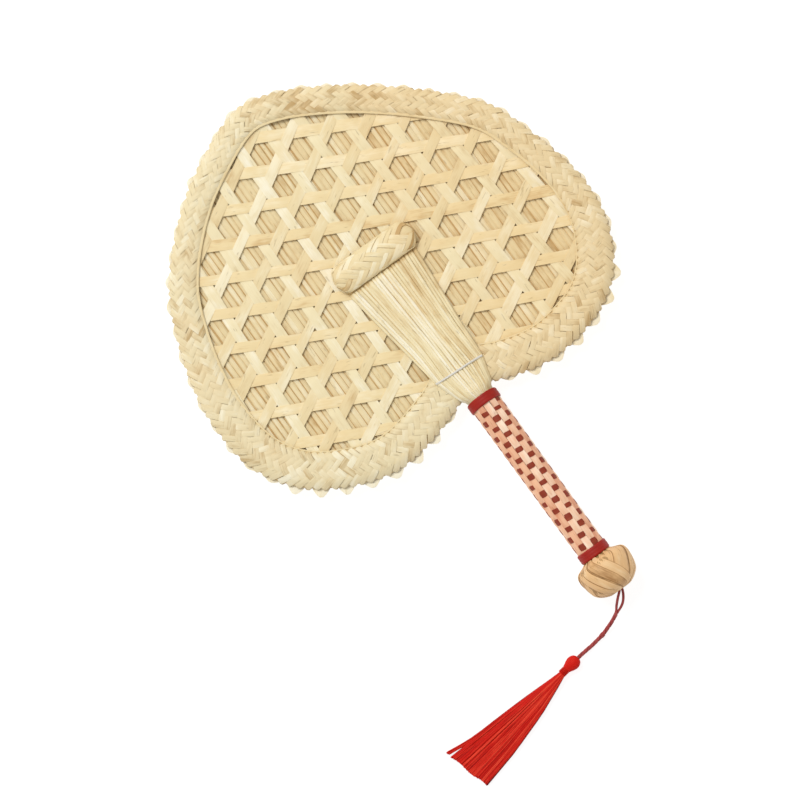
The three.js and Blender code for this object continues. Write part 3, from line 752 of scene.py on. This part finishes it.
def plait(columns, count, surface, rng, leaf_size, plies=1, bulge=0.5, cover=0.93, thickness=0.4, crown=0.16,
          stations=LEAF_STATIONS, across=LEAF_ACROSS, reach=(-np.inf, np.inf), nudged=0.035):
    """Leaves of a herringbone plait over a surface of two coordinates, s along and t across the columns.

    The middle of leaf i in column c is (i, c + 1/2), or half a leaf further on in odd columns. With a along
    and b across it, s = middle + a/2 + b/4 and t = middle + (a/2 - b/4), mirrored in odd columns. It stands
    bulge (1 - a^4) high, so its ends dip under the leaves that cross them. A leaf may be split into plies,
    and is cut off where s leaves the reach.
    """
    column, number, ply = (m.ravel() for m in np.meshgrid(
        np.arange(columns), np.arange(count), np.arange(plies), indexing="ij"))
    middle = number + 0.5 * (column % 2)
    lane = (2 * ply + 1) / plies - 1
    first = np.maximum(2 * (reach[0] - middle - lane / 4), -LEAF_TUCK)
    last = np.minimum(2 * (reach[1] - middle - lane / 4), LEAF_TUCK)
    kept = last - first > 0.3
    column, middle, lane, first, last = (
        each[kept, None, None] for each in (column, middle, lane, first, last))
    leaves = len(column)
    a = lerp(first, last, stations[None, :, None])
    around = np.concatenate([across, across[::-1]])[None, None]
    level = np.repeat((0.5, -0.5), len(across))[None, None] * thickness
    width = cover * (1 + 0.04 * rng.normal(size=(leaves, 1, 1)))
    b = lane + around * width / plies
    mirror = np.where(column % 2, -1.0, 1.0)
    nudge = nudged * rng.normal(size=(2, leaves, 1, 1))
    s = middle + a / 2 + b / 4 + nudge[0]
    t = column + 0.5 + mirror * (a / 2 - b / 4) + nudge[1]
    raised = bulge * (1 - a**4) + crown / plies * (1 - around**2) + 0.09 * rng.normal(size=(leaves, 1, 1))
    points = surface(s, t, raised + level)
    length, breadth = leaf_size
    return points, stacked(a * length / 2, b * breadth / 2, level)


def plait_share(place, count):
    """Share of a plait's size at a place in its count: leaves reach a quarter past both ends."""
    return (place + 0.25) / (count + 0.5)


def border_surface(side, count):
    """Front or back of the border: s counts leaves round the rim, t columns across it. What runs past an
    edge is folded down there."""
    def surface(s, t, height):
        share = s / count
        width = border_width(share)
        inset = lerp(-BORDER_OVERHANG, width, plait_share(t, BORDER_COLUMNS))
        kept = np.clip(inset, -BORDER_OVERHANG, width)
        x, y = rim(share, kept)
        z = border_height(kept, width) + height - np.abs(inset - kept)
        return stacked(x, y, side * z)
    return surface


def add_border_plait(face, side, seed):
    """Leaves of the border, darker to the right of the tip."""
    rng = np.random.default_rng(seed)
    count = round(RIM_LENGTH / LEAF_PITCH)
    points, grain = plait(
        BORDER_COLUMNS, count, border_surface(side, count), rng, leaf_size=(9.0, 4.5), bulge=0.24, cover=1.0,
        thickness=0.3,
    )
    middle = points.mean(axis=(1, 2), keepdims=True)
    by_tip = smooth((middle[..., 1] - 170) / 70) * smooth((middle[..., 0] + 30) / 40)
    tone = 0.52 + 0.11 * rng.normal(size=(len(points), 1, 1)) - 0.18 * by_tip
    slot = "straw" if side > 0 else "pale_straw"
    add_fan_piece(f"{face}_border_plait", points, grain, tone, BORDER_STRAW, slot, f"{face}_border")


BED_INSET = np.array((1.0, 1.0, 3.0, 6.5, -6.0, -2.0, -0.9, -0.9, 6.5, 6.5))  # below 0: from the inner edge
BED_FLOOR = np.array((0.3, 0, 0, 0, 0, 0, 0, 1.0, 1.0, 0.3))  # height of its underside; 0 along its top
BED_SINK = 0.5  # of its top below the border's crown


def add_border_bed(face, side):
    """Band of straw under the leaves, which closes the gaps between them."""
    share = BORDER_SHARES[:, None]
    width = border_width(share)
    inset = np.where(BED_INSET < 0, width + BED_INSET, BED_INSET)
    z = np.where(BED_FLOOR > 0, BED_FLOOR, border_height(inset, width) - BED_SINK)
    x, y = rim(share, inset)
    rings = stacked(x, y, side * z)[None]
    grain = stacked(share * RIM_LENGTH, inset, z)[None]
    add_fan_piece(f"{face}_border_bed", rings, grain, 0.3, STRAW, "straw", is_loop=True)


EDGING_HALF = 1.2  # half width of the smooth strip along the border's inner edge
EDGING_LOBE_HALF = 0.5  # and round the lobes


def add_border_edging(face, side):
    width = border_width(BORDER_SHARES)
    half = lerp(EDGING_LOBE_HALF, EDGING_HALF, smooth((rim(BORDER_SHARES, 0)[1] - 50) / 70))
    x, y = rim(BORDER_SHARES, width - half)
    z = side * (border_height(width - half, width) + 0.1)
    rings, grain = sweep(stacked(x, y, z)[None], ribbon(half, 0.4, 0.25, 5), (0, 0, side))
    add_fan_piece(f"{face}_border_edging", rings, grain, 0.5, STRAW, "straw", is_loop=True)


RIM_TEETH = 52
TOOTH_INSET = (6, 2, 1, 1, 1, 1, 1)  # of its stations from the root to the point
TOOTH_OUT = (0, 0, 0, 0.4, 0.75, 0.94, 1)  # share of the way from there to its point
TOOTH_HALF = (6.4, 6.4, 6.2, 4.8, 3.0, 1.8, 1.1)
TOOTH_Z = (-1.2, -0.9, -0.7, -0.6, -0.6, -0.65, -0.7)


def add_teeth():
    """Points of the back plait past the rim: strips that narrow outwards to a blunt end, long round the
    lobes and short elsewhere."""
    rng = np.random.default_rng(23)
    share = (2 * np.arange(RIM_TEETH) + 1) / (2 * RIM_TEETH)
    x, y = rim(share, 0)
    reach = np.where((y < 25) & (np.abs(x) > 25), 4.4, 1.7)
    reach = (reach + 0.3 * rng.normal(size=RIM_TEETH))[:, None]
    x, y = rim(share[:, None], lerp(TOOTH_INSET, -reach, TOOTH_OUT))
    half = TOOTH_HALF * (1 + 0.06 * rng.normal(size=(RIM_TEETH, 1)))
    rings, grain = sweep(stacked(x, y, TOOTH_Z), ribbon(half, 0.5, 0.25), UP)
    tone = 0.9 + 0.1 * rng.normal(size=(RIM_TEETH, 1, 1))
    add_fan_piece("back_border_teeth", rings, grain, tone, PALE_STRAW, "pale_straw")


add_mat()
strip_rng = np.random.default_rng(11)
for strip_node in sorted(name for name in frame["nodes"] if "_strip_" in name):
    add_strip(strip_node, strip_rng)
for face_name, face_side, face_seed in (("front", 1, 3), ("back", -1, 5)):
    add_border_plait(face_name, face_side, face_seed)
    add_border_bed(face_name, face_side)
    add_border_edging(face_name, face_side)
add_teeth()


# Straw bunches over both faces, each with its stitch and its plaited roll

BUNCH_STRAWS = 24
BUNCH_LEAN = -0.041
BUNCH_Y = (-4, 2.8, 6, 23.5, 35.3, 43.3, 64.5, 104.6, 107, 109)
BUNCH_HALF = (9.0, 9.4, 12.0, 18.2, 19.8, 20.8, 23.4, 28.1, 28.4, 28.6)
BUNCH_UNDER = (0.2, 1.0, 5.3, 5.8, 5.8, 2.6, 2.35, 2.35, 2.2, 2.0)
BUNCH_TOP = (9.0, 9.2, 10.3, 9.3, 8.95, 8.0, 6.4, 5.6, 4.1, 3.6)
BUNCH_STATIONS = np.linspace(-4, 108.5, 46)  # Y of the rings of its straws and its core


def bunch_point(y, share, lower=0.0):
    """Point on the bunch's face: across = half width times the share, even where the bunch is spread and
    the sine of an even turn at its round neck, height = under + rise times a dome that flattens likewise."""
    half, under, top = (np.interp(y, BUNCH_Y, values) for values in (BUNCH_HALF, BUNCH_UNDER, BUNCH_TOP))
    flat = smooth((y - 4) / 50)
    across = lerp(np.sin(share * np.pi / 2), share, flat)
    dome = lerp(np.cos(share * np.pi / 2), (1 - share**4) ** 0.5, flat)
    return stacked(np.maximum(y, 0) * BUNCH_LEAN + half * across, y, under + (top - under) * dome - lower)


def add_bunch_straws(face, side, seed):
    """Straws side by side over the bunch's face, each with a little drift, and painted dark near their cut ends as
    the shadow of the roll's edge.
    """
    rng = np.random.default_rng(seed)
    each = (BUNCH_STRAWS, 1)
    share = ((np.arange(BUNCH_STRAWS) + 0.5) / BUNCH_STRAWS * 2 - 1)[:, None]
    y = BUNCH_STATIONS[None]
    drift = 0.012 * np.sin(y / 23 + rng.uniform(0, 6.3, each)) * smooth(y / 30)
    path = bunch_point(y, (share + drift) * 0.965, 0.9)
    path[..., 2] += 0.22 * rng.normal(size=each) * smooth(y / 20)
    path[..., 2] *= side
    half = np.interp(y, (0, 12, 110), (0.8, 1.0, 1.28)) * (1 + 0.08 * rng.normal(size=each))
    rings, grain = sweep(path, oval(half, 0.85, 10), UP)
    # painted shade: straws darker towards the right side, away from the light
    tone = 0.58 + 0.16 * rng.normal(size=each) - 0.2 * np.clip(share, 0, 1)
    # painted shadow: the last 2 mm of each straw darkened where the roll's edge shades it
    tone = (tone - 1.2 * smooth((y - 105.4) / 1.8))[..., None]
    add_fan_piece(f"{face}_bunch_straws", rings, grain, tone, PALE_STRAW, "straw", f"{face}_straw_bunch")


def add_bunch_core(face, side):
    """Body of the bunch under its straws, from a little below its face down to its underside."""
    y = BUNCH_STATIONS[:, None]
    share = np.linspace(-0.97, 0.97, 21)[None]
    top = bunch_point(y, share, 1.2)
    under = bunch_point(y, share[:, ::-1])
    under[..., 2] = np.minimum(top[:, ::-1, 2] - 0.2, np.interp(y, BUNCH_Y, BUNCH_UNDER) + 0.05)
    rings = np.concatenate([top, under], axis=1)[None]
    rings[..., 2] *= side
    grain = stacked(rings[..., 1], rings[..., 0], 0.0)
    add_fan_piece(f"{face}_bunch_core", rings, grain, 0.3, STRAW, "straw")


STITCH_Y = 23.5
PLY_RADIUS = 0.45
PLY_APART = 0.4  # between the stitch's line and each ply's
PLY_PITCH = 2.4


def add_stitch(face, side):
    """Two-ply thread over the bunch from edge to edge: each ply is a helix round the stitch's line."""
    share = np.linspace(-1.0, 1.0, 150)
    line = bunch_point(STITCH_Y - 1.2 * share, share * 0.99, -0.35)
    line[:, 2] = np.maximum(line[:, 2], 6.0)
    turn = np.array((0, np.pi))[:, None] + distances(line)[None] * 2 * np.pi / PLY_PITCH
    path = stacked(line[:, 0], line[:, 1] + PLY_APART * np.cos(turn), line[:, 2] + PLY_APART * np.sin(turn))
    path[..., 2] *= side
    rings, grain = sweep(path, oval(PLY_RADIUS, PLY_RADIUS, 6), (0, 1, 0))
    add_fan_piece(f"{face}_stitch", rings, grain, 0.6, WHITE_THREAD, "white_thread", f"{face}_thread")


ROLL_COLUMNS = 5
ROLL_LEAVES = 6
ROLL_TURN = math.radians(118)  # from its crown to the edges of the plait
ROLL_SINK = 0.55  # of the leaves' middle below the roll's section
ROLL_CORE_SINK = 0.75


def add_roll(face, side, seed):
    """Plaited band rolled into a pillow: leaves over a flattened oval that shrinks to a rounded end."""
    rng = np.random.default_rng(seed)
    low, high = fan_box(f"{face}_roll")
    middle, half = (low + high) / 2, (high - low) / 2

    def point(along, turn, out):
        swell = np.sqrt(np.clip(1 - np.clip(np.abs(along) - 0.8, 0, 0.19) ** 2 / 0.038, 0.05, 1))
        x = middle[0] + half[0] * np.clip(along, -1, 1)
        y = middle[1] - (half[1] * swell + out) * np.sin(turn)
        z = abs(middle[2]) + (half[2] * swell + out) * np.cos(turn)
        return stacked(x, y, side * z)

    def surface(s, t, height):
        along = plait_share(s, ROLL_LEAVES) * 2 - 1
        turn = (plait_share(t, ROLL_COLUMNS) * 2 - 1) * ROLL_TURN
        return point(along, turn, height - ROLL_SINK)

    points, grain = plait(
        ROLL_COLUMNS, ROLL_LEAVES, surface, rng, leaf_size=(15.0, 5.6), plies=2, bulge=0.24, cover=1.0,
    )
    rightness = (points[..., 0].mean(axis=(1, 2)) - middle[0]) / half[0]
    # painted shade: leaves darken towards the roll's right end, standing in for the shade in its open end
    tone = 0.62 + 0.12 * rng.normal(size=len(points)) - 0.8 * smooth((rightness - 0.6) / 0.36)
    tone = tone[:, None, None]
    add_fan_piece(f"{face}_roll_plait", points, grain, tone, STRAW, "warm_straw", f"{face}_roll")
    rings = point(np.linspace(-0.98, 0.98, 30)[:, None], -turn_angles(24)[None], -ROLL_CORE_SINK)[None]
    add_fan_piece(f"{face}_roll_core", rings, rings, 0.4, STRAW, "warm_straw")


for face_name, face_side, face_seed in (("front", 1, 60), ("back", -1, 70)):
    add_bunch_straws(face_name, face_side, face_seed)
    add_bunch_core(face_name, face_side)
    add_stitch(face_name, face_side)
    add_roll(face_name, face_side, face_seed + 1)


# Handle: upright strips with a red strip wound through them, two red bands and the plaited knob

WARPS = 13
WEFT_TOP = -5.6
WEFT_TURNS = 17.3
WEFT_PITCH = 5.96  # of the red strip's first turn
WEFT_GROWTH = 0.0492  # half of what each turn adds to the pitch
SLEEVE_Y = (-130.3, 0)
SLEEVE_RADIUS = (10.0, 10.5)
SLEEVE_SINK = 0.42  # of the strips' middle below the sleeve's surface


def strip_radius(y):
    """Radius of the layer in which the strips of the sleeve cross."""
    return np.interp(y, SLEEVE_Y, SLEEVE_RADIUS) - SLEEVE_SINK


def weft_y(turn):
    """Height of the red strip after a number of turns: its pitch grows evenly down the handle."""
    return WEFT_TOP - WEFT_PITCH * turn - WEFT_GROWTH * turn**2


def weft_turn(y):
    """Number of turns of the red strip down to a height: the root of weft_y's square equation."""
    root = np.sqrt(np.maximum(WEFT_PITCH**2 + 4 * WEFT_GROWTH * (WEFT_TOP - y), 0))
    return (root - WEFT_PITCH) / (2 * WEFT_GROWTH)


def about_axis(radius, angle, y):
    """Points about the handle's axis, at an angle from the front."""
    return stacked(radius * np.sin(angle), y, radius * np.cos(angle))


def add_upright_strips():
    """Upright strip j crosses turn m of the red strip at count n = 13 m + j along it. The red strip lies
    over where n is even, so both wave by a cosine of pi n, one outwards where the other goes in."""
    rng = np.random.default_rng(31)
    y = np.linspace(-2.0, -129.9, 190)[None]
    j = np.arange(WARPS)[:, None]
    angle = 2 * np.pi * j / WARPS
    turn = weft_turn(y) - j / WARPS
    inside = smooth((WEFT_TOP + 4 - y) / 3) * smooth((y - weft_y(WEFT_TURNS) + 4) / 3)
    wave = -0.3 * np.cos(np.pi * (turn + j)) * inside
    path = about_axis(strip_radius(y) + wave, angle, y)
    half = 2.36 + 0.06 * rng.normal(size=(WARPS, 1)) + 0.05 * np.sin(y / 9 + 5 * j)
    rings, grain = sweep(path, ribbon(half, 0.34, 0.12), about_axis(1.0, angle, 0.0))
    tone = 0.6 + 0.2 * rng.normal(size=(WARPS, 1, 1))
    add_fan_piece("handle_upright_strips", rings, grain, tone, PEACH_STRIP, "warm_straw", "handle_weave")


def add_red_strip():
    """Helix down the handle, which waves out and in over and under upright strips by a flattened cosine."""
    n = np.linspace(0.7, WEFT_TURNS * WARPS, 2200)[None]
    y = weft_y(n / WARPS)
    angle = 2 * np.pi * n / WARPS
    path = about_axis(strip_radius(y) + 0.36 * np.tanh(1.4 * np.cos(np.pi * n)), angle, y)
    half = lerp(1.7, 2.1, n / n.max()) + 0.26 * np.sin(n / 3.1) + 0.2 * np.sin(n / 1.3)
    rings, grain = sweep(path, ribbon(half, 0.3, 0.06), about_axis(1.0, angle, 0.0))
    add_fan_piece("handle_red_strip", rings, grain, 0.5, RED_STRIP, "red_strip")


BAND_HEIGHT = 6.8
BAND_THICKNESS = 0.85


def add_band(node, drop, skew):
    """Red strip wound flat round the handle: a ring that bulges a little over each of its three turns, and
    is sheared along the handle by skew times its height to the front."""
    low, high = fan_box(node)
    outer = high[0]
    middle = (low[1] + high[1]) / 2 - drop
    share = np.linspace(0, 1, 25)
    bulge = 0.1 * np.abs(np.sin(3 * np.pi * share)) - 0.55 * np.abs(2 * share - 1) ** 8
    radius = np.concatenate([outer - 0.1 + bulge, np.full(2, outer - BAND_THICKNESS)])
    along = np.concatenate([share - 0.5, (0.5, -0.5)]) * BAND_HEIGHT
    angle = turn_angles(96)[:, None]
    rings = about_axis(radius, angle, middle + along + skew * (radius * np.cos(angle)))[None]
    grain = stacked(outer * angle, along, radius)[None]
    add_fan_piece(f"{node}_wound", rings, grain, 0.5, RED_BAND, "red_strip", node, is_loop=True)


KNOB_STEPS = 6  # points of the outline for each span
KNOB_PROFILE = curve_through((  # radius and Y, from under the band over the knob into the cord's hole
    (9.3, -128.2), (9.5, -130.4), (11.4, -131.8), (17.6, -134.6), (19.4, -138.6), (18.6, -146.4),
    (16.4, -152.8), (9.6, -157.6), (5.9, -158.2), (5.5, -154.6),
), KNOB_STEPS)
KNOB_QUARTERS = 4
KNOB_PLIES = 4
KNOB_LEAF = 52.0  # length of its outline from one leaf to the next
KNOB_FIRST = 0.52  # leaf count where the outline starts
KNOB_TRIM = 0.05  # leaf count left free at both ends
KNOB_TURN = math.radians(-14)
KNOB_SIDES = 6
KNOB_FLATS = 0.03  # share by which its sides are flatter than round; one lies on the table
KNOB_SINK = 0.4  # of the strips' middle below the knob's outline
KNOB_CORE_SINK = 0.45
KNOB_CORE_INSIDE = ((5.1, -155.5), (9.4, -150), (9.4, -132.2))  # radius and Y round the hole and the stick
KNOB_ACROSS = np.array((-1, -0.84, 0, 0.84, 1))  # points across a strip, whose two edges carry painted shade of the gaps between strips


def add_knob():
    """Wide strips plaited over a ball of straw: s runs down the knob's outline, t counts quarters round."""
    rng = np.random.default_rng(53)
    along = distances(KNOB_PROFILE)

    def surface(s, t, height):
        radius, y = (np.interp((s - KNOB_FIRST) * KNOB_LEAF, along, KNOB_PROFILE[:, k]) for k in range(2))
        angle = 2 * np.pi * (t - 0.5) / KNOB_QUARTERS + KNOB_TURN
        flatter = 1 - KNOB_FLATS * (1 + np.cos(KNOB_SIDES * angle)) / 2
        return about_axis(radius * flatter + height - KNOB_SINK, angle, y)

    reach = (KNOB_FIRST + KNOB_TRIM, KNOB_FIRST + along[-1] / KNOB_LEAF - KNOB_TRIM)
    points, grain = plait(
        KNOB_QUARTERS, 3, surface, rng, leaf_size=(60.0, 26.0), plies=KNOB_PLIES, bulge=0.42,
        cover=0.98, crown=1.0, stations=np.linspace(0, 1, 25), across=KNOB_ACROSS, reach=reach, nudged=0.01,
    )
    # painted shade: both edges of each strip darkened, standing in for the shade in the gaps between strips
    shaded_edge = np.abs(np.concatenate([KNOB_ACROSS, KNOB_ACROSS[::-1]])) == 1
    tone = 0.5 + 0.13 * rng.normal(size=(len(points), 1, 1)) - 0.75 * shaded_edge
    add_fan_piece("knob_plait", points, grain, tone, KNOB_STRAW, "straw", "knob")
    outside = KNOB_PROFILE[KNOB_STEPS:-KNOB_STEPS] - (KNOB_CORE_SINK, 0)
    outline = np.concatenate([outside, KNOB_CORE_INSIDE])
    rings = about_axis(outline[:, 0], turn_angles(48)[:, None], outline[:, 1])[None]
    add_fan_piece("knob_core", rings, rings, 0.3, TAN_STRAW, "straw", is_loop=True)


add_upright_strips()
add_red_strip()
add_band("upper_binding", 1.0, 0.12)
add_band("lower_binding", 0.0, 0.0)
add_knob()
frame["nodes"]["handle_core"].data.materials.clear()
frame["nodes"]["handle_core"].data.materials.append(STICK_WOOD)


# Stage: pale floor, a broad soft light from the picture's upper left, and a bright even sky, in metres

FLOOR_FINISH = {
    "Base Color": (0.25, 0.25, 0.25, 1), "Emission Color": (1, 1, 1, 1), "Emission Strength": 0.86,
    "Roughness": 0.9, "Specular IOR Level": 0.0,
}
KEY_TOWARD = np.array((-0.13, 0.82, 1.25))
KEY_DISTANCE = 4
SKY = {"Color": (1.0, 0.995, 0.98, 1), "Strength": 0.56}


def add_stage():
    mesh = bpy.data.meshes.new("floor")
    corners = [(x, y, -0.0004) for x, y in ((-3, -3), (3, -3), (3, 3), (-3, 3))]
    mesh.from_pydata(corners, [], [(0, 1, 2, 3)])
    material = bpy.data.materials.new("pale_floor")
    material.use_nodes = True
    tree = material.node_tree
    fill(tree, tree.nodes["Principled BSDF"], FLOOR_FINISH)
    mesh.materials.append(material)
    floor = add_object("floor", mesh)


def add_lights():
    light = bpy.data.lights.new("soft_key", "AREA")
    light.shape = "DISK"
    light.size = 1.8
    light.energy = 92
    key = add_object("soft_key", light)
    key.location = VIEW_CENTRE + KEY_DISTANCE * unit(KEY_TOWARD)
    x, y, z = KEY_TOWARD
    key.rotation_euler = (math.atan2(math.hypot(x, y), z), 0, math.atan2(y, x) + math.pi / 2)
    world = bpy.data.worlds.new("even_sky")
    world.use_nodes = True
    fill(world.node_tree, world.node_tree.nodes["Background"], SKY)
    bpy.context.scene.world = world
    bpy.context.scene.view_settings.view_transform = "Standard"


add_stage()
add_lights()
